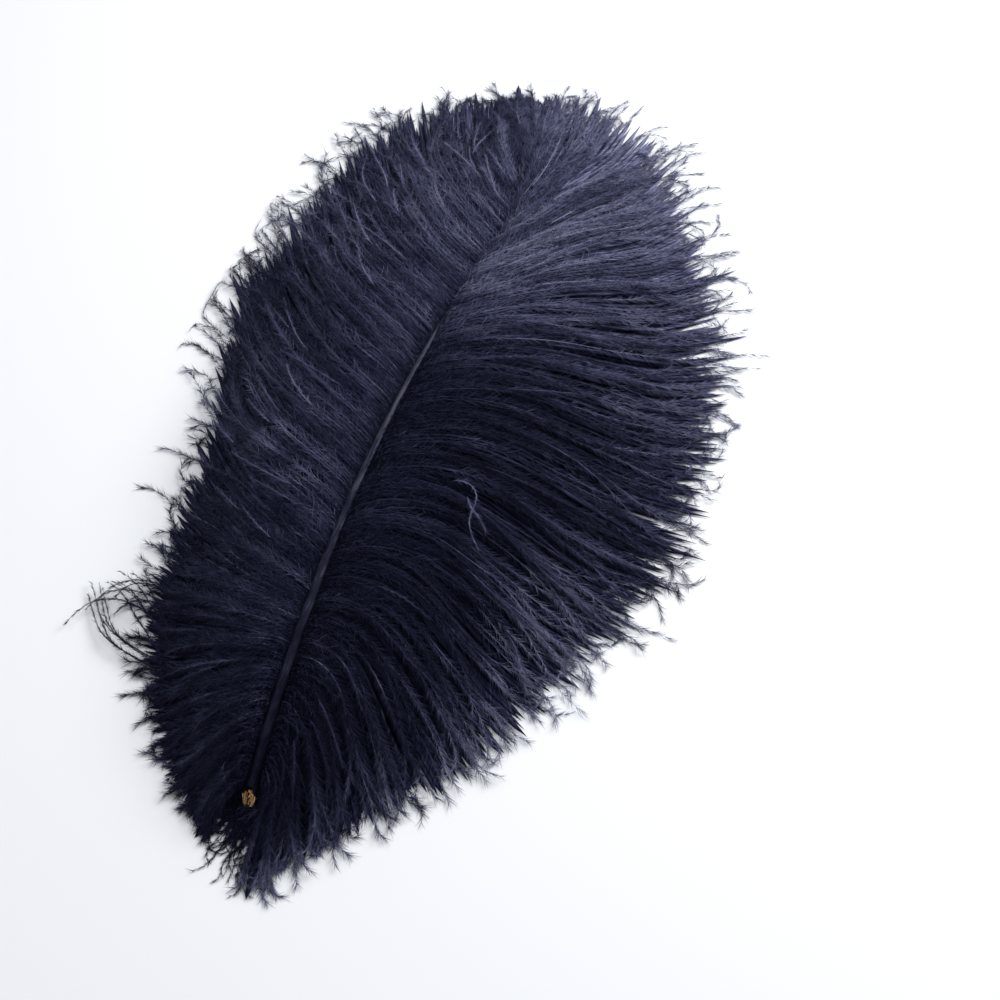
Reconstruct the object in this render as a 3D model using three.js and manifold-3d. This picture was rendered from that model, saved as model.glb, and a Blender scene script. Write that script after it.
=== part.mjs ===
// A dyed ostrich plume, lying on a table: one grown piece, whose hollow quill runs on
// as a tapering shaft, with soft vanes of long barbs down both sides. The barbs hang
// together in pointed locks, which arch over from the shaft and droop to the surface.
// Millimetres, +Z up. The plume points along +Y, from the torn quill to the tip, and
// lies on z = 0. Until it is placed at the end, its torn quill end is at x = y = 0.
import * as THREE from 'three';
import { mergeVertices } from 'three/addons/utils/BufferGeometryUtils.js';
import Module from 'manifold-3d';

// The shaft: lengths and widths in mm, headings from +Y towards +X and pitches in degrees
const SHAFT_LENGTH = 528;
const SHAFT_STEPS = 40;
const SHAFT_SIDES = 8;
const QUILL_WIDTH = 8;
const TIP_WIDTH = 1.4;
const FLATNESS = 0.82;
const BASE_HEADING = -9;
const TIP_HEADING = 9;
const HOOK_START = 0.74;
const HOOK_TURN = -34;
const BASE_PITCH = 15;
const CREST = 0.62;
const TIP_PITCH = -30;
const DROOP_POWER = 1.5;
const QUILL_SINK = 0.4;

// The quill's end, torn off on a slant and hollow
const BORE_WIDTH = 4.4;
const BORE_TIP_WIDTH = 1.6;
const BORE_DEPTH = 18;
const TEAR_SLANT = 45;
const TEAR_BLOCK = 40;

// The vanes: how far the barbs reach, with shares of it for both ends and how it changes
// in between, and how the barbs leave the shaft and curl, in degrees
const LEFT = {
  side: -1,
  reach: 216,
  baseReach: 0.2,
  tipReach: 0.46,
  reachFull: 0.46,
  reachFullness: 2,
  headStarts: 0.62,
  baseAngle: 154,
  angle: 68,
  angleFullness: 2.2,
  fanEnds: 0.31,
  baseCurl: 10,
  curl: -28,
  headCurl: -30,
  tipCurl: -14,
  curlFull: 0.6,
};
const RIGHT = {
  side: 1,
  reach: 212,
  baseReach: 0.34,
  tipReach: 0.43,
  reachFull: 0.46,
  reachFullness: 4.2,
  headStarts: 0.5,
  baseAngle: 142,
  angle: 58,
  angleFullness: 1,
  fanEnds: 0.36,
  baseCurl: 40,
  curl: 46,
  headCurl: -22,
  tipCurl: 4,
  curlFull: 0.5,
};
const TIP_ANGLE = 7;
const BASE_CURL_ENDS = 0.25;
const HEAD_CURL_STARTS = 0.3;
const HEAD_CURL_FULL = 0.76;
const TIP_CURL_STARTS = 0.82;
const LIFT = 8;
const BASE_LIFT = 0.5;
const RISE = 5;
const RISE_FULL = 0.16;
const RISE_PEAK = 0.12;
const LANDING = 0.86;
const FALL_POWER = 1.3;

// The locks
const LOCKS_PER_SIDE = 27;
const FIRST_LOCK = 0.04;
const LAST_LOCK = 0.985;
const END_CROWDING = 0.4;
const LOCK_SIDES = 4;
const LOCK_STEPS = 8;
const LOCK_WIDTH = 25;
const LOCK_THICKNESS = 4.5;
const LOCK_POINT = 0.6;
const LAYER_STEP = 1.4;
const LOCK_REST = 0.4;

// The middle of the plume's outline, from its torn quill end, and the table's size
const MIDDLE_X = 2.1;
const MIDDLE_Y = 280.8;
const TABLE = 2000;

const PLUME_COLOUR = 0x191b2d;
const PLUME_ROUGHNESS = 0.8;

const radians = THREE.MathUtils.degToRad;
const mix = THREE.MathUtils.lerp;
const smooth = THREE.MathUtils.smoothstep;

// The shaft's direction at a share t of its length. It climbs from the quill, arches
// over its crest and droops at the tip, and bows to the right before it hooks back.
function shaftDirection(t) {
  const heading = mix(BASE_HEADING, TIP_HEADING, t) + HOOK_TURN * smooth(t, HOOK_START, 1);
  const climb = BASE_PITCH * Math.max(1 - t / CREST, 0);
  const droop = TIP_PITCH * Math.max((t - CREST) / (1 - CREST), 0) ** DROOP_POWER;
  const level = Math.cos(radians(climb + droop));
  return new THREE.Vector3(
    Math.sin(radians(heading)) * level,
    Math.cos(radians(heading)) * level,
    Math.sin(radians(climb + droop)),
  );
}

function shaftWidth(t) {
  return mix(QUILL_WIDTH, TIP_WIDTH, t);
}

function shaftLine() {
  const at = new THREE.Vector3(0, 0, (QUILL_WIDTH / 2) * FLATNESS - QUILL_SINK);
  const points = [at.clone()];
  for (let step = 0; step < SHAFT_STEPS; step++) {
    at.addScaledVector(shaftDirection((step + 0.5) / SHAFT_STEPS), SHAFT_LENGTH / SHAFT_STEPS);
    points.push(at.clone());
  }
  return points;
}

const shaftPoints = shaftLine();

function shaftPoint(t) {
  const step = Math.min(Math.floor(t * SHAFT_STEPS), SHAFT_STEPS - 1);
  return shaftPoints[step].clone().lerp(shaftPoints[step + 1], t * SHAFT_STEPS - step);
}

// A value that changes along the plume, from its base over its middle to its tip
function alongPlume(t, base, middle, tip, baseEnds, headStarts, fullness) {
  const share = smooth(t, headStarts, 1) ** fullness;
  return mix(mix(base, middle, smooth(t, 0, baseEnds)), tip, share);
}

// How far the barbs at t turn on their way: back down the right side, forward elsewhere
function curlAt(vane, t) {
  const middle = mix(vane.baseCurl, vane.curl, smooth(t, 0, BASE_CURL_ENDS));
  const head = mix(middle, vane.headCurl, smooth(t, HEAD_CURL_STARTS, HEAD_CURL_FULL));
  return mix(head, vane.tipCurl, smooth(t, TIP_CURL_STARTS, 1));
}

// The shares of the shaft's length where things stand, closer together at both its ends
function spread(share, first, last) {
  const shift = (END_CROWDING * Math.sin(2 * Math.PI * share)) / (2 * Math.PI);
  return mix(first, last, share - shift);
}

// The middle line of the barbs that leave the shaft at t, on one side: swept back at
// the quill, half forward along the middle and nearly straight on at the tip. They rise
// steeply from the shaft, so that it lies in a valley, curl, and come down on the table.
function barbLine(vane, t, steps, layer) {
  const root = shaftPoint(t);
  const along = shaftDirection(t);
  const { baseAngle, baseReach, tipReach, fanEnds, reachFull, headStarts } = vane;
  const angle = alongPlume(t, baseAngle, vane.angle, TIP_ANGLE, fanEnds, headStarts, vane.angleFullness);
  const share = alongPlume(t, baseReach, 1, tipReach, reachFull, headStarts, vane.reachFullness);
  const curl = curlAt(vane, t);
  const stride = (vane.reach * share) / steps;
  const raised = smooth(t, 0, RISE_FULL);
  const at = root.clone();
  const points = [root.clone()];
  for (let step = 1; step <= steps; step++) {
    const turned = angle + curl * smooth((step - 0.5) / steps, 0, vane.curlFull);
    const way = Math.atan2(along.x, along.y) + vane.side * radians(turned);
    const fallen = Math.min(step / steps / LANDING, 1);
    const risen = step / steps / RISE_PEAK;
    at.x += Math.sin(way) * stride;
    at.y += Math.cos(way) * stride;
    at.z = mix(root.z, LOCK_REST, smooth(fallen ** FALL_POWER, 0, 1));
    at.z += LIFT * mix(BASE_LIFT, 1, raised) * Math.sin(Math.PI * fallen) + layer * (1 - fallen);
    at.z += RISE * raised * risen * Math.exp(1 - risen);
    points.push(at.clone());
  }
  return points;
}

// A closed tapering bar along a line: a cylinder whose rings are moved to the line's
// points, level across, each with its own width and height.
function barAlong(points, sides, width, height) {
  const steps = points.length - 1;
  const bar = new THREE.CylinderGeometry(1, 1, 1, sides, steps);
  const place = bar.attributes.position;
  for (let corner = 0; corner < place.count; corner++) {
    const share = place.getY(corner) + 0.5;
    const ring = Math.round(share * steps);
    const ahead = points[Math.min(ring + 1, steps)];
    const along = ahead.clone().sub(points[Math.max(ring - 1, 0)]).normalize();
    const across = new THREE.Vector3(along.y, -along.x, 0).normalize();
    const up = across.clone().cross(along);
    const moved = points[ring].clone();
    moved.addScaledVector(across, (place.getX(corner) * width(share)) / 2);
    moved.addScaledVector(up, (place.getZ(corner) * height(share)) / 2);
    place.setXYZ(corner, moved.x, moved.y, moved.z);
  }
  return bar;
}

const wasm = await Module();
wasm.setup();

function solidOf(geometry) {
  geometry.deleteAttribute('normal');
  geometry.deleteAttribute('uv');
  const merged = mergeVertices(geometry, 1e-4);
  return new wasm.Manifold(new wasm.Mesh({
    numProp: 3,
    vertProperties: new Float32Array(merged.attributes.position.array),
    triVerts: new Uint32Array(merged.index.array),
  }));
}

function geometryOf(solid) {
  const mesh = solid.getMesh();
  const geometry = new THREE.BufferGeometry();
  geometry.setAttribute('position', new THREE.BufferAttribute(mesh.vertProperties, 3));
  geometry.setIndex(new THREE.BufferAttribute(mesh.triVerts, 1));
  return geometry;
}

// What the tear took away: the hollow of the quill, and the corner past a slanting cut
function tear() {
  const ahead = shaftPoint(BORE_DEPTH / SHAFT_LENGTH);
  const bore = barAlong(
    [shaftPoint(0).multiplyScalar(2).sub(ahead), ahead],
    SHAFT_SIDES,
    (share) => mix(2 * BORE_WIDTH - BORE_TIP_WIDTH, BORE_TIP_WIDTH, share),
    (share) => mix(2 * BORE_WIDTH - BORE_TIP_WIDTH, BORE_TIP_WIDTH, share) * FLATNESS,
  );
  const corner = new THREE.BoxGeometry(TEAR_BLOCK, TEAR_BLOCK, TEAR_BLOCK);
  corner.translate(0, -TEAR_BLOCK / 2, 0);
  corner.rotateX(radians(-TEAR_SLANT));
  return solidOf(bore).add(solidOf(corner));
}

function shaft() {
  const height = (t) => shaftWidth(t) * FLATNESS;
  return solidOf(barAlong(shaftPoints, SHAFT_SIDES, shaftWidth, height)).subtract(tear());
}

function locks(vane) {
  const made = [];
  for (let lock = 0; lock < LOCKS_PER_SIDE; lock++) {
    const t = spread(lock / (LOCKS_PER_SIDE - 1), FIRST_LOCK, LAST_LOCK);
    const points = barbLine(vane, t, LOCK_STEPS, (lock % 2) * LAYER_STEP);
    const width = (q) => LOCK_WIDTH * mix(0.3, 1, smooth(q, 0, 0.4)) * (1 - q ** 2.4) ** 0.8 + LOCK_POINT;
    const height = (q) => LOCK_THICKNESS * (1 - 0.75 * q ** 1.5);
    made.push(solidOf(barAlong(points, LOCK_SIDES, width, height)));
  }
  return made;
}

let plume = shaft();
for (const lock of [...locks(LEFT), ...locks(RIGHT)]) {
  plume = plume.add(lock);
}
const table = new THREE.BoxGeometry(TABLE, TABLE, TABLE);
table.translate(0, 0, -TABLE / 2);
plume = plume.subtract(solidOf(table));

// Where locks cross, a bubble can be left shut in between them: only the outside is kept.
const [outside] = plume.decompose().sort((one, other) => other.volume() - one.volume());

const feather = new THREE.Mesh(
  geometryOf(outside),
  new THREE.MeshStandardMaterial({ color: PLUME_COLOUR, roughness: PLUME_ROUGHNESS, metalness: 0 }),
);
feather.name = 'feather';
feather.position.set(-MIDDLE_X, -MIDDLE_Y, 0);

const group = new THREE.Group();
group.add(feather);
export default group;
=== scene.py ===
import math

import bmesh
import bpy
import numpy as np
from mathutils import Matrix, Vector


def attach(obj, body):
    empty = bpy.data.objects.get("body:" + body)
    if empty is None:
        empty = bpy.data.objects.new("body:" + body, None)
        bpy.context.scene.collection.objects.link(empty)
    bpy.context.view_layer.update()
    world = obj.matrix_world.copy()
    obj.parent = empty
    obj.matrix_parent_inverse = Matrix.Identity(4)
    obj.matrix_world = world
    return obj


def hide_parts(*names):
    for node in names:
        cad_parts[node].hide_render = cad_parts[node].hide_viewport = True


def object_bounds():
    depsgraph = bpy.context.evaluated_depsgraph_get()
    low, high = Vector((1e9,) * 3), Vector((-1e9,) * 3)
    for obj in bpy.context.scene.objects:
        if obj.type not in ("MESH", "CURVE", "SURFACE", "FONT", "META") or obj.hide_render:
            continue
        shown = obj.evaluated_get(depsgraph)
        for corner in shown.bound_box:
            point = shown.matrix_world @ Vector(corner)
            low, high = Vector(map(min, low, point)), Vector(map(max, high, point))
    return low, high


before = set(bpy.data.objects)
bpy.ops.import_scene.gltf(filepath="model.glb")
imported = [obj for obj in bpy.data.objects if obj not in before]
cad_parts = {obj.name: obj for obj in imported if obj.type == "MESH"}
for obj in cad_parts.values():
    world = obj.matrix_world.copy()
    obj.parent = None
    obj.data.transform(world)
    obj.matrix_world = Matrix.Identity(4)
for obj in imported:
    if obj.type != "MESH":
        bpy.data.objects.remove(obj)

cad_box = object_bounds()


# Studio
# A dyed ostrich plume lies on a seamless white table, under a big soft light from behind
# on the right and a weaker one from the left. The camera looks down on it at 54 degrees.
CAMERA_AZIMUTH = 21.4
CAMERA_ELEVATION = 54.0
CAMERA_DISTANCE = 1.13
CAMERA_TARGET = Vector((0.05565, -0.0473, 0.02))
FOCAL_PIXELS = 1886
FRAME_PIXELS = 1000
SENSOR = 36.0
NEAREST = 0.01
TABLE_SIZE = 6.0
TABLE_COLOUR = (0.86, 0.865, 0.875, 1.0)
SKY_COLOUR = (0.93, 0.95, 1.0, 1.0)
SKY_STRENGTH = 0.5
WINDOW = {"place": (0.7, 0.95, 0.8), "size": 0.8, "power": 24.0, "colour": (0.98, 0.985, 1.0)}
FILL = {"place": (-1.2, -0.3, 2.0), "size": 1.6, "power": 13.0, "colour": (0.94, 0.96, 1.0)}

scene = bpy.context.scene
scene.view_settings.view_transform = "Standard"

azimuth = math.radians(CAMERA_AZIMUTH)
elevation = math.radians(CAMERA_ELEVATION)
backwards = Vector((
    math.sin(azimuth) * math.cos(elevation),
    -math.cos(azimuth) * math.cos(elevation),
    math.sin(elevation),
))
lens = bpy.data.cameras.new("camera")
lens.sensor_width = SENSOR
lens.lens = SENSOR * FOCAL_PIXELS / FRAME_PIXELS
lens.clip_start = NEAREST
camera = bpy.data.objects.new("camera", lens)
camera.location = CAMERA_TARGET + backwards * CAMERA_DISTANCE
camera.rotation_euler = backwards.to_track_quat("Z", "Y").to_euler()
scene.collection.objects.link(camera)
scene.camera = camera


class Value:
    """A shader socket that takes part in expressions: each operator adds its Math node."""

    def __init__(self, tree, socket):
        self.tree = tree
        self.socket = socket

    def maths(self, operation, one, other):
        node = self.tree.nodes.new("ShaderNodeMath")
        node.operation = operation
        for place, given in enumerate((one, other)):
            if isinstance(given, Value):
                self.tree.links.new(given.socket, node.inputs[place])
            else:
                node.inputs[place].default_value = given
        return Value(self.tree, node.outputs[0])

    def __add__(self, other):
        return self.maths("ADD", self, other)

    def __radd__(self, other):
        return self.maths("ADD", other, self)

    def __sub__(self, other):
        return self.maths("SUBTRACT", self, other)

    def __rsub__(self, other):
        return self.maths("SUBTRACT", other, self)

    def __mul__(self, other):
        return self.maths("MULTIPLY", self, other)

    def __rmul__(self, other):
        return self.maths("MULTIPLY", other, self)


class Finish:
    """A material with one Principled shader, and a way to add nodes to it."""

    def __init__(self, name, **even):
        self.material = bpy.data.materials.new(name)
        self.material.use_nodes = True
        self.tree = self.material.node_tree
        self.shader = self.tree.nodes["Principled BSDF"]
        for socket, setting in even.items():
            self.shader.inputs[socket.replace("_", " ")].default_value = setting

    def node(self, kind, settings=None, inputs=None, output=0):
        node = self.tree.nodes.new(kind)
        for setting, given in (settings or {}).items():
            if setting == "stops":
                ramp = node.color_ramp
                while len(ramp.elements) < len(given):
                    ramp.elements.new(0.5)
                for element, (place, colour) in zip(ramp.elements, given):
                    element.position = place
                    element.color = (*colour, 1.0)
            else:
                setattr(node, setting, given)
        for socket, given in (inputs or {}).items():
            if isinstance(given, Value):
                self.tree.links.new(given.socket, node.inputs[socket])
            else:
                node.inputs[socket].default_value = given
        return Value(self.tree, node.outputs[output])

    def feed(self, socket, value):
        self.tree.links.new(value.socket, self.shader.inputs[socket])


table_mesh = bmesh.new()
bmesh.ops.create_grid(table_mesh, x_segments=1, y_segments=1, size=TABLE_SIZE / 2)
table_data = bpy.data.meshes.new("table")
table_mesh.to_mesh(table_data)
table_mesh.free()
table = bpy.data.objects.new("table", table_data)
scene.collection.objects.link(table)
paper = Finish("white table", Roughness=0.7, Base_Color=TABLE_COLOUR)
table.data.materials.append(paper.material)

world = bpy.data.worlds.new("studio")
world.use_nodes = True
sky = world.node_tree.nodes["Background"]
sky.inputs["Color"].default_value = SKY_COLOUR
sky.inputs["Strength"].default_value = SKY_STRENGTH
scene.world = world


def soft_light(name, place, size, power, colour):
    """A round lamp that faces the middle of the table."""
    light = bpy.data.lights.new(name, "AREA")
    light.shape = "DISK"
    light.size = size
    light.energy = power
    light.color = colour
    lamp = bpy.data.objects.new(name, light)
    lamp.location = place
    lamp.rotation_euler = Vector(place).to_track_quat("Z", "Y").to_euler()
    scene.collection.objects.link(lamp)


soft_light("window", **WINDOW)
soft_light("fill", **FILL)


# Shaft
# Quill and shaft grew in one: a flattened horny stem, 8 mm wide at its torn hollow end,
# that arches and droops to a limp tip. Shapes are laid out in mm from the quill's end and
# moved by MIDDLE; t runs along the shaft, from 0 at the quill to 1 at the tip.
MIDDLE = np.array((2.1, 280.8, 0.0))
METRE = 0.001
SHAFT_LENGTH = 528.0
SHAFT_STEPS = 40
QUILL_WIDTH = 8.0
TIP_WIDTH = 1.4
FLATNESS = 0.82
BASE_HEADING = -9.0
TIP_HEADING = 9.0
HOOK_START = 0.74
HOOK_TURN = -34.0
BASE_PITCH = 15.0
CREST = 0.62
TIP_PITCH = -30.0
DROOP_POWER = 1.5
QUILL_SINK = 0.4
SHAFT_SIDES = 24
SHAFT_RINGS = 120
TEAR_SLANT = math.radians(45)
TEAR_PLACE = 2.5
TEAR_RIM = 0.3
TEAR_RANGE = (-1.0, 0.4)
TEAR_ROUGHNESS = 0.7
QUILL_WALL = 0.9
BORE_RINGS = ((5.0, 0.8), (7.0, 0.6), (6.0, 0.4))
PALE_FACING = -0.6
PALE_DEPTH = 1.0
PALE_HEIGHT = 0.0052
TABLE_GAP = 0.00005
HORN_STOPS = (
    (0.28, (0.0028, 0.0032, 0.0085)),
    (0.42, (0.013, 0.014, 0.027)),
    (0.54, (0.05, 0.051, 0.076)),
    (0.74, (0.1, 0.101, 0.135)),
)
PITH_STOPS = (
    (0.32, (0.14, 0.065, 0.02)),
    (0.44, (0.58, 0.32, 0.11)),
    (0.64, (0.8, 0.54, 0.24)),
)


def mix(one, other, share):
    return one + (other - one) * share


def smooth(value, start, end):
    share = np.clip((value - start) / (end - start), 0.0, 1.0)
    return share * share * (3.0 - 2.0 * share)


def unit(vectors):
    return vectors / np.linalg.norm(vectors, axis=-1, keepdims=True)


def shaft_direction(t):
    turn = mix(BASE_HEADING, TIP_HEADING, t) + HOOK_TURN * smooth(t, HOOK_START, 1.0)
    climb = BASE_PITCH * np.maximum(1.0 - t / CREST, 0.0)
    droop = TIP_PITCH * np.maximum((t - CREST) / (1.0 - CREST), 0.0) ** DROOP_POWER
    heading, pitch = np.radians(turn), np.radians(climb + droop)
    level = np.cos(pitch)
    return np.stack((np.sin(heading) * level, np.cos(heading) * level, np.sin(pitch)), -1)


def shaft_line():
    middles = (np.arange(SHAFT_STEPS) + 0.5) / SHAFT_STEPS
    strides = shaft_direction(middles) * SHAFT_LENGTH / SHAFT_STEPS
    start = np.array((0.0, 0.0, QUILL_WIDTH / 2 * FLATNESS - QUILL_SINK))
    return start + np.concatenate((np.zeros((1, 3)), np.cumsum(strides, axis=0)))


shaft_points = shaft_line()


def shaft_point(t):
    steps = np.arange(SHAFT_STEPS + 1)
    return np.stack([np.interp(t * SHAFT_STEPS, steps, axis) for axis in shaft_points.T], -1)


def shaft_width(t):
    return mix(QUILL_WIDTH, TIP_WIDTH, t)


def across_and_up(along):
    across = unit(np.cross(along, (0.0, 0.0, 1.0)))
    return across, np.cross(across, along)


def section_matrix(t):
    """Takes a unit circle to the shaft's section at t, in metres in the model's frame."""
    along = shaft_direction(t)
    across, up = across_and_up(along)
    half = shaft_width(t) / 2 * METRE
    place = (shaft_point(t) - MIDDLE) * METRE
    columns = (across * half, up * half * FLATNESS, -along * METRE, place)
    rows = [[column[row] for column in columns] for row in range(3)]
    return Matrix((*rows, (0.0, 0.0, 0.0, 1.0)))


def linked(name, shape, finishes):
    """Makes a bmesh a shaded object of its own, and leaves the bmesh free."""
    for face in shape.faces:
        face.smooth = True
    data = bpy.data.meshes.new(name)
    shape.to_mesh(data)
    shape.free()
    for finish in finishes:
        data.materials.append(finish.material)
    piece = bpy.data.objects.new(name, data)
    scene.collection.objects.link(piece)
    return piece


def grown_on(piece):
    """What holds for every piece of the plume: it is part of the one grown feather."""
    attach(piece, "root")
    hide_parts("feather")


def extruded(shape, leading, keep=False):
    """Extrudes faces, and gives the new vertices and faces. The old faces go, or they would
    be left inside, unless they close the far end."""
    grown = bmesh.ops.extrude_face_region(shape, geom=leading)["geom"]
    if not keep:
        bmesh.ops.delete(shape, geom=leading, context="FACES_ONLY")
    verts = [item for item in grown if isinstance(item, bmesh.types.BMVert)]
    return verts, [item for item in grown if isinstance(item, bmesh.types.BMFace)]


def above_table(verts):
    for vert in verts:
        vert.co.z = max(vert.co.z, TABLE_GAP)


stem = bmesh.new()
bmesh.ops.create_circle(stem, cap_ends=True, segments=SHAFT_SIDES, radius=1.0)
bmesh.ops.transform(stem, matrix=section_matrix(0.0), verts=stem.verts)
leading = stem.faces[:]
stations = np.linspace(0.0, 1.0, SHAFT_RINGS)
for before, t in zip(stations, stations[1:]):
    moved, leading = extruded(stem, leading, keep=before == 0.0)
    step = section_matrix(t) @ section_matrix(before).inverted()
    bmesh.ops.transform(stem, matrix=step, verts=moved)
bmesh.ops.recalc_face_normals(stem, faces=stem.faces)

tear_rng = np.random.default_rng(3)
torn_at = shaft_points[0] * (1, 1, 0) + shaft_direction(0.0) * (TEAR_PLACE, TEAR_PLACE, 0)
cut_place = Vector((torn_at - MIDDLE) * METRE)
cut_facing = Vector((0.0, math.cos(TEAR_SLANT), -math.sin(TEAR_SLANT)))
bmesh.ops.bisect_plane(stem, geom=stem.verts[:] + stem.edges[:] + stem.faces[:],
                       plane_co=cut_place, plane_no=cut_facing, clear_inner=True)
rim = [edge for edge in stem.edges if edge.is_boundary]
mouth = bmesh.ops.contextual_create(stem, geom=rim)["faces"]
bmesh.ops.inset_region(stem, faces=mouth, thickness=QUILL_WALL * METRE, use_even_offset=True)
ahead = Vector(shaft_direction(0.01))
for depth, narrowed in BORE_RINGS:
    moved, mouth = extruded(stem, mouth)
    middle = sum((vert.co for vert in moved), Vector()) / len(moved)
    for vert in moved:
        vert.co = middle + (vert.co - middle) * narrowed + ahead * depth * METRE
bmesh.ops.recalc_face_normals(stem, faces=stem.faces)
for vert in stem.verts:
    from_cut = (vert.co - cut_place).dot(cut_facing) / METRE
    if abs(from_cut) < TEAR_RIM:
        vert.co += ahead * tear_rng.uniform(*TEAR_RANGE) * TEAR_ROUGHNESS * METRE
above_table(stem.verts)
for face in stem.faces:
    centre = face.calc_center_median()
    inside = (centre - cut_place).dot(cut_facing) / METRE
    torn_open = face.normal.dot(cut_facing) < PALE_FACING and centre.z < PALE_HEIGHT
    face.material_index = 1 if torn_open and inside < PALE_DEPTH else 0

horn = Finish("dyed horn with painted shade", Specular_IOR_Level=0.12, Specular_Tint=(0.55, 0.62, 1.0, 1.0))
where = horn.node("ShaderNodeTexCoord", output="Object")
lengthwise = horn.node("ShaderNodeMapping", inputs={"Vector": where, "Scale": (900.0, 16.0, 900.0)})
grain = horn.node("ShaderNodeTexNoise", inputs={"Vector": lengthwise, "Scale": 1.0, "Detail": 4.0})
cloud = horn.node("ShaderNodeTexNoise", inputs={"Vector": where, "Scale": 60.0, "Detail": 3.0})
# Painted shade: the horn is darkest at the quill, where the base of the plume lies in shade, and
# paler towards the tip.
lengths = horn.node("ShaderNodeSeparateXYZ", inputs={"Vector": where}, output=1)
horn_tone_and_shade = grain * 0.5 + cloud * 0.35 + lengths * 0.9 + 0.09
horn.feed("Base Color", horn.node("ShaderNodeValToRGB", {"stops": HORN_STOPS}, {"Fac": horn_tone_and_shade}))
horn.feed("Roughness", grain * 0.25 + 0.42)
horn.feed("Normal", horn.node("ShaderNodeBump", inputs={
    "Height": grain, "Strength": 0.15, "Distance": 0.0004}))

pith = Finish("torn horn", Specular_IOR_Level=0.25)
where = pith.node("ShaderNodeTexCoord", output="Object")
crumbs = pith.node("ShaderNodeTexNoise", inputs={"Vector": where, "Scale": 900.0, "Detail": 4.0})
pith.feed("Base Color", pith.node("ShaderNodeValToRGB", {"stops": PITH_STOPS}, {"Fac": crumbs}))
pith.feed("Roughness", crumbs * 0.3 + 0.55)
pith.feed("Normal", pith.node("ShaderNodeBump", inputs={
    "Height": crumbs, "Strength": 0.6, "Distance": 0.0005}))

grown_on(linked("shaft", stem, [horn, pith]))


# Torn quill
# Where the quill was torn off, its pale inner layer stands out of the mouth as short
# ragged splinters, tan because the dye reached only the outside.
SPLINTERS = 26
SPLINTER_SIDES = 5
SPLINTER_SPACING = (-0.3, 0.3)
SPLINTER_LENGTH = (2.0, 5.0)
SPLINTER_WIDTH = (0.4, 1.2)
SPLINTER_END = 0.22
SPLINTER_REACH = (0.35, 0.8)
SPLINTER_SQUASH = (0.4, 0.8)
SPLINTER_SUNK = (0.1, 0.5)
SPLINTER_LEAN = 0.34
SPLINTER_ROUGHNESS = 0.12
MOUTH_TALLNESS = 1.5

splinters = bmesh.new()
quill_height = QUILL_WIDTH / 2 * FLATNESS
mouth_middle = cut_place + Vector((0.0, quill_height, quill_height)) * METRE
across = Vector((1.0, 0.0, 0.0))
slope = Vector((0.0, math.sin(TEAR_SLANT), math.cos(TEAR_SLANT)))
for number in range(SPLINTERS):
    round_share = (number + tear_rng.uniform(*SPLINTER_SPACING)) / SPLINTERS * 2 * math.pi
    length = tear_rng.uniform(*SPLINTER_LENGTH) * METRE
    width = tear_rng.uniform(*SPLINTER_WIDTH) * METRE
    made = bmesh.ops.create_cone(splinters, cap_ends=True, segments=SPLINTER_SIDES,
                                 radius1=width, radius2=width * SPLINTER_END, depth=length)
    reach = tear_rng.uniform(*SPLINTER_REACH) * QUILL_WIDTH / 2 * METRE
    foot = mouth_middle + across * math.cos(round_share) * reach
    foot += slope * math.sin(round_share) * reach * MOUTH_TALLNESS
    out = (-ahead + Vector(tear_rng.normal(0.0, SPLINTER_LEAN, 3))).normalized()
    squash = Matrix.Diagonal((1.0, tear_rng.uniform(*SPLINTER_SQUASH), 1.0, 1.0))
    turn = out.to_track_quat("Z", "Y").to_matrix().to_4x4()
    place = Matrix.Translation(foot - out * length * tear_rng.uniform(*SPLINTER_SUNK))
    bmesh.ops.transform(splinters, matrix=place @ turn @ squash, verts=made["verts"])
    for vert in made["verts"]:
        vert.co += Vector(tear_rng.normal(0.0, SPLINTER_ROUGHNESS, 3)) * METRE
    above_table(made["verts"])
grown_on(linked("torn_quill", splinters, [pith]))


# Barbs
# Soft flexible barbs leave the shaft on both sides: they rise beside it, arch over, curl
# and come down on the table. Neighbours hang together in wisps that part at their ends.
# Each barb is a fine stalk covered in long, soft barbules.
VANES = {
    "left": {"side": -1, "reach": 216.0, "base_reach": 0.2, "tip_reach": 0.46,
             "reach_full": 0.46, "reach_fullness": 2.0, "head_starts": 0.62,
             "base_angle": 154.0, "angle": 68.0, "angle_fullness": 2.2, "fan_ends": 0.31,
             "base_curl": 10.0, "curl": -28.0, "head_curl": -30.0, "tip_curl": -14.0,
             "curl_full": 0.6, "root_shift": 0.0},
    "right": {"side": 1, "reach": 212.0, "base_reach": 0.34, "tip_reach": 0.43,
              "reach_full": 0.46, "reach_fullness": 4.2, "head_starts": 0.5,
              "base_angle": 142.0, "angle": 58.0, "angle_fullness": 1.0, "fan_ends": 0.36,
              "base_curl": 40.0, "curl": 46.0, "head_curl": -22.0, "tip_curl": 4.0,
              "curl_full": 0.5, "root_shift": 0.8},
}
TIP_ANGLE = 7.0
BASE_CURL_ENDS = 0.25
HEAD_CURL_STARTS = 0.3
HEAD_CURL_FULL = 0.76
TIP_CURL_STARTS = 0.82
LIFT = 8.0
BASE_LIFT = 0.5
RISE = 5.0
RISE_FULL = 0.16
RISE_PEAK = 0.12
LANDING = 0.86
FALL_POWER = 1.3
HEAD_ROOT_SHIFT = 3.2
HEAD_COVERED = (0.58, 0.74)
QUILL_ROOT_SHIFT = -3.0
QUILL_BARE = (0.06, 0.34)
ROOT_LIFT = 1.2
HOOK_STARTS = 0.6
TWIRL_STARTS = 0.84
BARB_REST = 1.6
FIRST_BARB = 0.034
LAST_BARB = 0.998
BARBS_PER_SIDE = 330
BARB_STEPS = 18
RIBS_PER_SIDE = 122
STALK_WIDTH = 0.55
STALK_HEIGHT = 0.5
BARBULES_PER_BARB = 245
BARBULE_LENGTH = 9.0
BARBULE_RADIUS = 0.25
BARBULE_UV = 0.505
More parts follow.
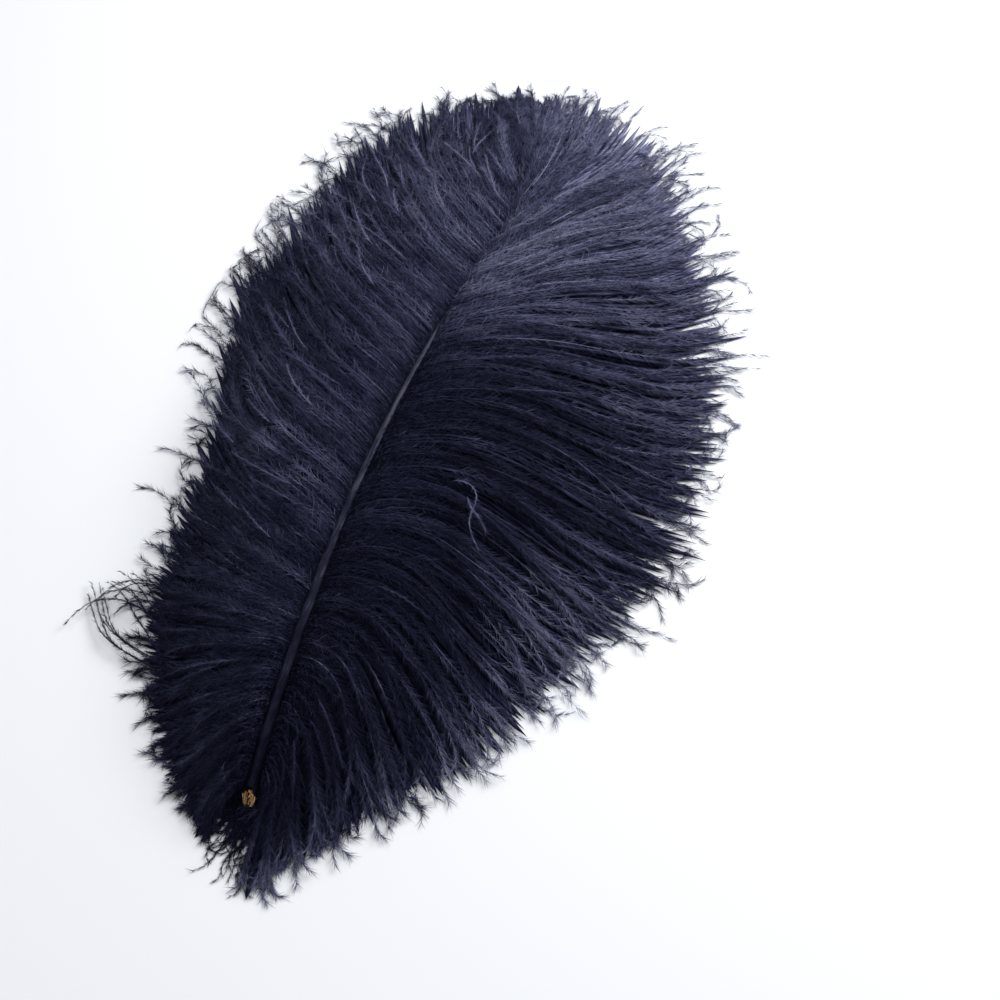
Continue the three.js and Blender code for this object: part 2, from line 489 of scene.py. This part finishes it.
STALK_UV = 0.01
TONE_UV = 0.46
LOWEST_HAIR = 0.12
LOWEST_BARB = 0.7
OVERHANG = 7.0
CLEARING = np.array((1.2, -1.4))
CLEARING_RADIUS = 7.0
CLEARING_HEIGHT = 1.2
# Shares of barbs that get painted highlights, along the vane and at its base.
GLINTS = 0.17
BASE_GLINTS = 0.3
RIPPLE = 5.5
PLACING_STEPS = 240
PLACING_SHARE = 0.75
UV_MAP = "OFBake"


def along_plume(t, base, middle, tip, base_ends, head_starts, fullness):
    share = smooth(t, head_starts, 1.0) ** fullness
    return mix(mix(base, middle, smooth(t, 0.0, base_ends)), tip, share)


def curl_at(vane, t):
    middle = mix(vane["base_curl"], vane["curl"], smooth(t, 0.0, BASE_CURL_ENDS))
    head = mix(middle, vane["head_curl"], smooth(t, HEAD_CURL_STARTS, HEAD_CURL_FULL))
    return mix(head, vane["tip_curl"], smooth(t, TIP_CURL_STARTS, 1.0))


def waves(rng, t, share, across=(8, 30), along=(2, 7), count=6):
    """A smooth random ripple over a vane, between about -1 and 1."""
    total = 0.0
    for _ in range(count):
        total = total + np.sin(rng.uniform(*across) * t + rng.uniform(*along) * share
                               + rng.uniform(0, 2 * np.pi))
    return total / math.sqrt(count)


def barb_lines(vane, t, swing=0.0, reach=1.0, curl=0.0, lift=0.0, hook=0.0, twirl=0.0,
               ripple=None):
    """The middle lines of barbs, one row each. What each barb has of its own is its swing,
    curl, hook and last twirl in degrees, its reach as a share and its lift in mm. The roots
    stand at the quill's sides and cross over the shaft towards the head."""
    swing, reach, curl, lift, hook, twirl = (
        np.broadcast_to(own, t.shape)[:, None] for own in (swing, reach, curl, lift, hook, twirl))
    along = shaft_direction(t)
    heading = np.arctan2(along[:, 0], along[:, 1])[:, None]
    covering = smooth(t, *HEAD_COVERED)[:, None]
    shift = mix(vane["root_shift"], HEAD_ROOT_SHIFT, covering)
    shift = mix(QUILL_ROOT_SHIFT, shift, smooth(t, *QUILL_BARE)[:, None])
    root = shaft_point(t) - vane["side"] * shift * across_and_up(along)[0]
    t = t[:, None]
    share = (np.arange(BARB_STEPS) + 0.5)[None] / BARB_STEPS
    angle = along_plume(t, vane["base_angle"], vane["angle"], TIP_ANGLE, vane["fan_ends"],
                        vane["head_starts"], vane["angle_fullness"])
    turned = angle + swing + (curl_at(vane, t) + curl) * smooth(share, 0.0, vane["curl_full"])
    turned = turned + hook * smooth(share, HOOK_STARTS, 1.0)
    turned = turned + twirl * smooth(share, TWIRL_STARTS, 1.0)
    if ripple is not None:
        turned = turned + ripple(t, share) * share
    way = heading + vane["side"] * np.radians(turned)
    length = along_plume(t, vane["base_reach"], 1.0, vane["tip_reach"], vane["reach_full"],
                         vane["head_starts"], vane["reach_fullness"])
    stride = vane["reach"] * length * reach / BARB_STEPS
    lines = np.zeros((len(t), BARB_STEPS + 1, 3))
    lines[:, 1:, 0] = np.cumsum(np.sin(way) * stride, axis=1)
    lines[:, 1:, 1] = np.cumsum(np.cos(way) * stride, axis=1)
    lines[:, :, :2] += root[:, None, :2]
    gone = np.arange(BARB_STEPS + 1)[None] / BARB_STEPS
    fallen = np.minimum(gone / LANDING, 1.0)
    risen = gone / RISE_PEAK
    lines[:, :, 2] = mix(root[:, 2:], BARB_REST, smooth(fallen ** FALL_POWER, 0.0, 1.0))
    raised = smooth(t, 0.0, RISE_FULL)
    lines[:, :, 2] += (LIFT * mix(BASE_LIFT, 1.0, raised) + lift) * np.sin(np.pi * fallen)
    lines[:, :, 2] += RISE * raised * (1.0 - 0.85 * covering) * risen * np.exp(1 - risen)
    lines[:, :, 2] += ROOT_LIFT * np.maximum(shift, 0.0) * (1.0 - smooth(gone, 0.0, 0.2))
    return lines


def placed(vane, share):
    """Where along the shaft barbs grow so that they are evenly spread where they fan out."""
    fine = np.linspace(FIRST_BARB, LAST_BARB, PLACING_STEPS)
    ends = barb_lines(vane, fine)[:, int(BARB_STEPS * PLACING_SHARE), :2]
    roots = shaft_point(fine)[:, :2]
    gaps = sum(np.linalg.norm(np.diff(row, axis=0), axis=1) for row in (ends, roots))
    gone = np.concatenate(((0.0,), np.cumsum(gaps)))
    return np.interp(share * gone[-1], gone, fine)


low_corner, high_corner = (np.array(corner) / METRE + MIDDLE for corner in cad_box)


def held_in(points):
    """Draws in what strays far past the plume's outline, keeps all of it off the table, and
    clears the space in front of the torn quill."""
    for axis in (0, 1):
        for side, edge in ((-1, low_corner[axis]), (1, high_corner[axis])):
            past = side * (points[..., axis] - edge)
            drawn = OVERHANG * np.tanh(np.maximum(past, 0.0) / OVERHANG)
            points[..., axis] = np.where(past > 0.0, edge + side * drawn, points[..., axis])
    points[..., 2] = np.maximum(points[..., 2], LOWEST_HAIR)
    away = points[..., :2] - CLEARING
    far = np.maximum(np.linalg.norm(away, axis=-1, keepdims=True), 0.01)
    pushed = np.maximum(CLEARING_RADIUS - far, 0.0) * (points[..., 2:] > CLEARING_HEIGHT)
    points[..., :2] += away / far * pushed
    return points


def joined_mesh(name, parts, finish):
    """One mesh of many small closed shapes. Each part has its points in mm, three corners
    to each face and the UV of each corner."""
    points = held_in(np.concatenate([part[0] for part in parts]))
    firsts = np.cumsum([0] + [len(part[0]) for part in parts[:-1]])
    faces = np.concatenate([part[1] + first for part, first in zip(parts, firsts)])
    uvs = np.concatenate([part[2] for part in parts])
    mesh = bpy.data.meshes.new(name)
    mesh.vertices.add(len(points))
    mesh.vertices.foreach_set("co", ((points - MIDDLE) * METRE).astype(np.float32).ravel())
    mesh.loops.add(faces.size)
    mesh.loops.foreach_set("vertex_index", faces.astype(np.int32).ravel())
    mesh.polygons.add(len(faces))
    mesh.polygons.foreach_set("loop_start", np.arange(0, faces.size, 3, dtype=np.int32))
    mesh.polygons.foreach_set("use_smooth", np.ones(len(faces), bool))
    layer = mesh.uv_layers.new(name=UV_MAP)
    layer.uv.foreach_set("vector", uvs.astype(np.float32).ravel())
    mesh.update()
    mesh.materials.append(finish.material)
    piece = bpy.data.objects.new(name, mesh)
    scene.collection.objects.link(piece)
    return piece


def stalks(rng, lines, tones, width, height, root=0.4, blunt=2.5):
    """Four-sided bars along the lines, pointed at both ends."""
    count, rings = lines.shape[0], lines.shape[1] - 2
    share = np.linspace(0.0, 1.0, lines.shape[1])[1:-1][None, :]
    across, up = across_and_up(unit(lines[:, 2:] - lines[:, :-2]))
    taper = mix(root, 1.0, smooth(share, 0.0, 0.2)) * (1.0 - share ** blunt) ** 0.8
    ragged = taper * rng.uniform(0.75, 1.25, (count, rings))
    wide = (width * ragged / 2)[..., None] * across
    high = (height * ragged / 2)[..., None] * up
    middles = lines[:, 1:-1]
    rims = np.stack((middles + wide, middles + high, middles - wide, middles - high), axis=2)
    points = np.concatenate((rims.reshape(count, -1, 3), lines[:, :1], lines[:, -1:]), axis=1)
    faces, places = [], []
    for ring in range(rings - 1):
        for side in range(4):
            a, b = ring * 4 + side, ring * 4 + (side + 1) % 4
            faces += [(a, b + 4, b), (a, a + 4, b + 4)]
            places += [((side, ring + 1), (side + 1, ring + 2), (side + 1, ring + 1)),
                       ((side, ring + 1), (side, ring + 2), (side + 1, ring + 2))]
    last = (rings - 1) * 4
    for side in range(4):
        other = (side + 1) % 4
        faces += [(side, other, rings * 4), (last + other, last + side, rings * 4 + 1)]
        places += [((side, 1), (side + 1, 1), (side + 0.5, 0)),
                   ((side + 1, rings), (side, rings), (side + 0.5, rings + 1))]
    faces, places = np.array(faces), np.array(places)
    every = faces[None] + (np.arange(count) * (rings * 4 + 2))[:, None, None]
    ring = places[..., 1].astype(int)
    tone = STALK_UV + TONE_UV * np.clip(tones, 0.0, 1.0)[:, ring]
    lengthwise = np.broadcast_to(ring / (rings + 1), tone.shape)
    uvs = np.stack((tone + 0.004 * places[..., 0], lengthwise), -1)
    return points.reshape(-1, 3), every.reshape(-1, 3), uvs.reshape(-1, 3, 2)


def barbules(rng, lines, tones, count, length, lean=(14.0, 56.0)):
    """Fine side hairs of the barbs: closed spikes of four faces each."""
    barb = np.repeat(np.arange(len(lines)), count)
    share = rng.uniform(0.0, 1.0, len(barb)) ** 0.72 * 0.985
    step = np.minimum((share * BARB_STEPS).astype(int), BARB_STEPS - 1)
    part = (share * BARB_STEPS - step)[:, None]
    along = unit(lines[barb, step + 1] - lines[barb, step])
    across, up = across_and_up(along)
    column = (len(barb), 1)
    roll = np.radians(rng.normal(0.0, 38.0, column))
    out = across * rng.choice((-1.0, 1.0), column) * np.cos(roll) + up * np.sin(roll)
    share = share[:, None]
    leaning = np.radians(rng.uniform(*lean, column)) * (1.0 - 0.3 * share ** 2)
    reach = length * rng.uniform(0.5, 1.3, column) * (1.0 - 0.3 * share ** 2)
    reach = reach * mix(0.45, 1.0, smooth(share, 0.0, 0.1))
    root = mix(lines[barb, step], lines[barb, step + 1], part)
    way = along * np.cos(leaning) + out * np.sin(leaning)
    tip = root + way * reach
    tip[:, 2:] -= 0.12 * reach * rng.uniform(0.0, 1.0, column)
    wide, high = across_and_up(unit(tip - root))
    radius = BARBULE_RADIUS * rng.uniform(0.7, 1.3, column) * (1.0 - 0.35 * share)
    spin = rng.uniform(0.0, 2 * np.pi, column)
    rim = []
    for corner in range(3):
        angle = spin + corner * 2 * np.pi / 3
        rim.append(root + (wide * np.cos(angle) + high * np.sin(angle)) * radius)
    points = np.stack((*rim, tip), axis=1)
    pattern = np.array([(0, 1, 2), (0, 3, 1), (1, 3, 2), (2, 3, 0)])
    corner_uv = np.array(((0.0, 0.0), (0.5, 0.3), (1.0, 0.0), (0.5, 1.0)))
    every = pattern[None] + (np.arange(len(barb)) * 4)[:, None, None]
    uvs = np.broadcast_to(corner_uv[pattern], (len(barb), 4, 3, 2)).copy()
    # Barbules that point up are a little paler: painted light from above.
    tone = tones[barb, step] + rng.normal(0.0, 0.045, len(barb)) + 0.04 * np.sin(roll[:, 0])
    tone = BARBULE_UV + TONE_UV * np.clip(tone, 0.0, 1.0)
    uvs[..., 0] = uvs[..., 0] * 0.007 + tone[:, None, None]
    return points.reshape(-1, 3), every.reshape(-1, 3), uvs.reshape(-1, 3, 2)


# The dye is the same everywhere; a strand's tone, which holds painted light and shade as well as
# random differences, is laid across its UV map from dark to pale, once for the stalks and once for
# the barbules.
DYE_AND_LIGHT = (
    (0.0, (0.0018, 0.0021, 0.0072)),
    (0.35, (0.0074, 0.0081, 0.024)),
    (0.6, (0.026, 0.0275, 0.059)),
    (0.85, (0.084, 0.09, 0.16)),
    (1.0, (0.19, 0.195, 0.29)),
)


def dyed(name, stretch, contrast, **even):
    """The dye on soft fibres, with painted light and shade: the tone from the UV map, with a fine
    streaky mottle.
    """
    finish = Finish(name, **even)
    place = finish.node("ShaderNodeUVMap", {"uv_map": UV_MAP})
    split = finish.node("ShaderNodeSeparateXYZ", inputs={"Vector": place})
    tone = finish.node("ShaderNodeMath", {"operation": "FRACT"}, {0: split * 2.0})
    stretched = finish.node("ShaderNodeMapping", inputs={"Vector": place, "Scale": stretch})
    mottle = finish.node("ShaderNodeTexNoise", {"noise_dimensions": "2D"},
                         {"Vector": stretched, "Scale": 1.0, "Detail": 2.0})
    finish.feed("Base Color", finish.node("ShaderNodeValToRGB", {"stops": DYE_AND_LIGHT},
                                          {"Fac": tone + (mottle - 0.5) * contrast}))
    return finish


fluff = dyed("dyed barbs with painted light and shade", (60.0, 5.0, 1.0), 0.3, Roughness=0.55, Specular_IOR_Level=0.12,
             Sheen_Weight=0.08, Sheen_Roughness=0.35, Sheen_Tint=(0.45, 0.5, 1.0, 1.0),
             Specular_Tint=(0.7, 0.75, 1.0, 1.0))


def vane_dye_and_light(vane, t):
    """How pale a vane is along its length, as painted light and shade over the even dye: darkest at
    the base, palest at the head.
    """
    if vane["side"] < 0:
        return (0.37 + 0.27 * smooth(t, 0.05, 0.42) + 0.07 * smooth(t, 0.42, 0.75)
                - 0.05 * smooth(t, 0.85, 1.0))
    return (0.3 + 0.04 * smooth(t, 0.15, 0.5) + 0.53 * smooth(t, 0.46, 0.72)
            - 0.21 * smooth(t, 0.78, 0.95))


def barb_tones_with_light(rng, vane, t, share):
    """How pale each barb is at each of its steps, painted light and shade included, and the painted
    highlights where some of them seem to catch the light.
    """
    many = (len(t), 1)
    t = t[:, None]
    tone = vane_dye_and_light(vane, t) + rng.normal(0.0, 0.035, many) + 0.06 * waves(rng, t, share)
    # Painted shade: barbs are darker at their roots, in the valley beside the shaft.
    tone = tone - 0.06 * smooth(share, 0.1, 0.0)
    tone = tone + 0.1 * waves(rng, t, share, (60, 200), (14, 40))
    # Painted light: the right vane grows paler towards its outer ends.
    if vane["side"] > 0:
        lit_fringe = mix(0.18, 0.62, smooth(t, 0.75, 0.3)) * smooth(share, 0.35, 0.9)
        tone = tone + lit_fringe * (1.0 + 0.4 * waves(rng, t, share, (10, 40)))
    # Painted highlights: pale streaks on a share of the barbs, more and stronger at the base.
    middle, width = rng.uniform(0.1, 0.95, many), rng.uniform(0.08, 0.25, many)
    painted_glint = np.exp(-(((share - middle) / width) ** 2)) * rng.uniform(0.2, 0.5, many)
    catching = mix(BASE_GLINTS, GLINTS, smooth(t, 0.08, 0.35))
    return tone, painted_glint * mix(2.0, 1.0, smooth(t, 0.1, 0.4)) * (rng.random(many) < catching)


def ripple(seed, t, share):
    """How far all the barbs of a vane swing together, in degrees."""
    return RIPPLE * waves(np.random.default_rng(seed), t, share)


def wavy(rng, seed, count, size):
    """A vane's ripple with each barb's own bends on top."""
    turns, beats, starts = (rng.normal(0, size, (count, 1)), rng.uniform(9, 26, (count, 1)),
                            rng.uniform(0, 2 * np.pi, (count, 1)))
    return lambda t, share: ripple(seed, t, share) + turns * np.sin(beats * share + starts)


steps_share = np.linspace(0.0, 1.0, BARB_STEPS + 1)[None, :]
for number, (vane_name, vane) in enumerate(VANES.items()):
    rng = np.random.default_rng(11 + number)
    many, few = BARBS_PER_SIDE, RIBS_PER_SIDE
    share = (np.arange(many) + rng.uniform(0.1, 0.9, many)) / many
    t = placed(vane, share)
    seed = int(rng.integers(1000))
    rib = np.minimum((share * few).astype(int), few - 1)
    own = barb_lines(vane, t, swing=rng.normal(0, 3.0, many), curl=rng.normal(0, 6, many),
                     reach=rng.normal(0.98, 0.05, many) * (1.0 - 0.14 * smooth(t, 0.93, 1.0)),
                     lift=rng.normal(0, 1.6, many), hook=rng.normal(4, 14, many),
                     twirl=rng.normal(0, 75, many), ripple=wavy(rng, seed, many, 9))
    own[..., 2] += rng.normal(0, 0.8, (many, 1)) * smooth(steps_share, 0.0, 0.3)
    rib_t = placed(vane, (np.arange(few) + 0.5) / few)
    lead = barb_lines(vane, rib_t, swing=rng.normal(0, 2.0, few), reach=rng.normal(1, 0.06, few),
                      curl=rng.normal(0, 6, few), lift=rng.normal(0, 1.2, few),
                      hook=rng.normal(6, 16, few), ripple=wavy(rng, seed, few, 6))
    lead[..., 2] += rng.normal(0, 1.0, (few, 1)) * smooth(steps_share, 0.0, 0.2)
    hold = rng.uniform(0.5, 0.95, few)[rib][:, None, None]
    held = smooth(steps_share, 0.03, 0.3) * (1.0 - 0.8 * smooth(steps_share, 0.5, 0.95))
    lines = mix(own, lead[rib], hold * held[..., None])
    lines[..., 2] = np.maximum(lines[..., 2], LOWEST_BARB)
    tones, painted_glints = barb_tones_with_light(rng, vane, t, steps_share)
    tones = tones + rng.normal(0.0, 0.12, (few, 1))[rib]
    zones = np.array_split(np.arange(many), 3)
    for zone, chosen in zip(("base", "middle", "tip"), zones):
        # Stalks carry the full painted highlights and 0.03 more paleness, a painted highlight on
        # their ridges; barbules carry 0.3 of the highlights.
        bright, soft = tones[chosen] + painted_glints[chosen], tones[chosen] + 0.3 * painted_glints[chosen]
        parts = [
            stalks(rng, lines[chosen], bright + 0.03, STALK_WIDTH, STALK_HEIGHT),
            barbules(rng, lines[chosen], soft, BARBULES_PER_BARB, BARBULE_LENGTH),
        ]
        grown_on(joined_mesh(f"barbs_{vane_name}_{zone}", parts, fluff))


# Under-down
# Beneath the long barbs lies a close layer of softer, shorter ones, so dense that the
# table hardly shows through. They lie flat and overlap each other like shingles.
DOWN_PER_SIDE = 760
DOWN_WIDTH = 3.4
DOWN_HEIGHT = 0.7
DOWN_DROP = 1.8
DOWN_REACH = 0.9
DOWN_ROOT = 0.9
DOWN_BLUNTNESS = 11.0
DOWN_RIPPLE = 0.3
LOWEST_DOWN = 0.9

down = dyed("dyed down with painted light and shade", (330.0, 11.0, 1.0), 1.3, Roughness=0.7, Specular_IOR_Level=0.05)

# On both sides it ripples a little with the barbs laid last, the right vane's.
for number, (vane_name, vane) in enumerate(VANES.items()):
    rng = np.random.default_rng(31 + number)
    many = DOWN_PER_SIDE
    t = placed(vane, (np.arange(many) + 0.5) / many)
    lines = barb_lines(vane, t, swing=rng.normal(0, 0.2, many), curl=rng.normal(0, 0.4, many),
                       reach=rng.normal(DOWN_REACH, 0.04, many),
                       ripple=lambda t, share: DOWN_RIPPLE * ripple(seed, t, share))
    lines[..., 2] -= DOWN_DROP * smooth(steps_share, 0.0, 0.1)
    lines[..., 2] += rng.normal(0, 0.5, (many, 1)) * smooth(steps_share, 0.0, 0.3)
    lines[..., 2] = np.maximum(lines[..., 2], LOWEST_DOWN)
    # Painted shade: the down is set 0.1 darker than the barbs lying over it.
    tones = vane_dye_and_light(vane, t)[:, None] - 0.1 + rng.normal(0, 0.06, (many, 1))
    # Painted light: the right vane's down grows paler towards its ends.
    if vane["side"] > 0:
        tones = tones + 0.2 * smooth(steps_share[:, ::2], 0.6, 1.0)
    tones = np.broadcast_to(tones, (many, BARB_STEPS // 2 + 1))
    lines = lines[:, ::2]
    lines[:, -2] = mix(lines[:, -2], lines[:, -1], rng.uniform(0.1, 0.5, (many, 1)))
    ribbons = stalks(rng, lines, tones, DOWN_WIDTH, DOWN_HEIGHT, DOWN_ROOT, DOWN_BLUNTNESS)
    grown_on(joined_mesh(f"down_{vane_name}", [ribbons], down))


# Loose strands
# Some barbs have come away from their neighbours: a tuft behind the torn quill, with down
# of its own, a bunch that curls forward off the left edge, and strands that lie across the
# top, two of them pale and curled.
TUFT_PER_SIDE = 56
STRAND_WIDTH = 0.65
STRAND_HAIRS = 110
STRAND_HAIR_LENGTH = 4.5
BUNCH = (
    ((-80, -217, 6), (-105, -211, 5), (-125, -207, 6), (-140, -195, 5), (-147, -181, 4),
     (-157, -169, 3)),
    ((-82, -205, 6), (-100, -193, 6), (-120, -181, 6), (-132, -169, 5), (-150, -165, 4)),
    ((-96, -181, 7), (-119, -173, 6), (-133, -175, 6), (-146, -183, 6), (-151, -199, 3)),
)
BUNCH_STRANDS = 15
CURLS = (
    ((28, -61, 42), (34, -59, 45), (43, -61, 47), (50, -69, 48), (50, -77, 47), (50, -85, 46),
     (55, -93, 45), (63, -101, 44)),
    ((43, -69, 46), (49, -77, 47), (56, -81, 46), (62, -87, 44)),
)
CROSSING_PER_SIDE = 34
OVER_QUILL_PER_SIDE = 20
TUFT_TONE = 0.2
OVER_QUILL_TONE = 0.3
CURL_TONE = 0.94
LOWEST_STRAND = 0.6
TUFT_DOWN_SHARE = 0.75
TUFT_DOWN_LIES = 0.8
TUFT_DOWN_WIDTH = 2.4
TUFT_DOWN_HEIGHT = 1.0


def through(points, bend):
    """A barb's line through a few points in the model's frame, in mm, eased at each."""
    points = np.array(points, float) + MIDDLE
    gone = np.concatenate(((0.0,), np.cumsum(np.linalg.norm(np.diff(points, axis=0), axis=1))))
    at = np.linspace(0.0, gone[-1], BARB_STEPS + 1)
    line = np.stack([np.interp(at, gone, axis) for axis in points.T], -1)
    for _ in range(bend):
        line[1:-1] = (line[:-2] + 2 * line[1:-1] + line[2:]) / 4
    return line


def part_of(lines, first, last):
    """The stretch of each line between two shares of it, in as many steps as before."""
    at = mix(first[:, None], last[:, None], steps_share) * BARB_STEPS
    step = np.minimum(at.astype(int), BARB_STEPS - 1)
    row = np.arange(len(lines))[:, None]
    return mix(lines[row, step], lines[row, step + 1], (at - step)[..., None])


rng = np.random.default_rng(51)
loose, loose_tones, tufts = [], [], []
for vane in VANES.values():
    many = TUFT_PER_SIDE
    t = rng.uniform(FIRST_BARB * 0.7, 0.09, many)
    bends, beats = rng.normal(0, 22, (many, 1)), rng.uniform(4, 14, (many, 1))
    tuft = barb_lines(vane, t, swing=rng.uniform(2, 32, many), reach=rng.uniform(0.5, 0.95, many),
                      curl=rng.uniform(-20, 10, many), hook=rng.normal(0, 45, many),
                      twirl=rng.normal(0, 60, many),
                      ripple=lambda t, share: bends * np.sin(beats * share))
    low = rng.uniform(0.7, 1.2, (many, 1))
    tuft[..., 2] = mix(tuft[..., 2], low, smooth(steps_share, 0.0, 0.12))
    loose += list(tuft)
    loose_tones += [TUFT_TONE] * many
    tufts.append(tuft)
    many = CROSSING_PER_SIDE
    t = rng.uniform(0.1, 0.92, many)
    crossing = barb_lines(vane, t, swing=rng.normal(0, 6, many), curl=rng.normal(0, 12, many),
                          lift=rng.uniform(2, 5, many), hook=rng.normal(0, 30, many))
    first = rng.uniform(0.12, 0.6, many)
    crossing = part_of(crossing, first, first + rng.uniform(0.15, 0.4, many))
    crossing[..., 2] += 2.5
    loose += list(crossing)
    # Painted highlights: these strands are set paler than the vane beneath them.
    loose_tones += list(vane_dye_and_light(vane, t) + rng.uniform(0.12, 0.4, many))
    many = OVER_QUILL_PER_SIDE
    t = rng.uniform(FIRST_BARB * 1.3, 0.1, many)
    over = barb_lines(vane, t, swing=rng.uniform(-70, -10, many), reach=rng.uniform(0.4, 0.8, many),
                      curl=rng.uniform(-30, 60, many), lift=rng.uniform(3, 7, many))
    over[..., 2] += 2.0 * smooth(steps_share, 0.0, 0.1)
    loose += list(over)
    loose_tones += [OVER_QUILL_TONE] * many
for strand in range(BUNCH_STRANDS):
    line = through(BUNCH[strand % len(BUNCH)], 8)
    size = rng.uniform(0.65, 0.96)
    line = line[0] + (line - line[0]) * (size, size * rng.uniform(0.75, 1.2), 1.0)
    loose.append(line + (*rng.normal(0, 3.5, 2), rng.uniform(-2, 3)))
    loose_tones.append(rng.uniform(0.3, 0.45))
for curl in CURLS:
    loose.append(through(curl, 2) + rng.normal(0, 0.5, 3))
    loose_tones.append(CURL_TONE)
lines = np.array(loose)
lines[..., 2] = np.maximum(lines[..., 2], LOWEST_STRAND)
tones = np.array(loose_tones)[:, None] + rng.normal(0.0, 0.04, (len(loose), BARB_STEPS + 1))
parts = [
    stalks(rng, lines, tones, STRAND_WIDTH, STRAND_WIDTH),
    barbules(rng, lines, tones - 0.08, STRAND_HAIRS, STRAND_HAIR_LENGTH, lean=(15.0, 45.0)),
]
grown_on(joined_mesh("loose_strands", parts, fluff))
tuft = np.concatenate(tufts)
tuft = part_of(tuft, np.zeros(len(tuft)), np.full(len(tuft), TUFT_DOWN_SHARE))
tuft[..., 2] = TUFT_DOWN_LIES
tones = np.full((len(tuft), BARB_STEPS + 1), TUFT_TONE) + rng.normal(0, 0.1, (len(tuft), 1))
tuft_down = stalks(rng, tuft, tones, TUFT_DOWN_WIDTH, TUFT_DOWN_HEIGHT, DOWN_ROOT, blunt=3.0)
grown_on(joined_mesh("down_tuft", [tuft_down], down))
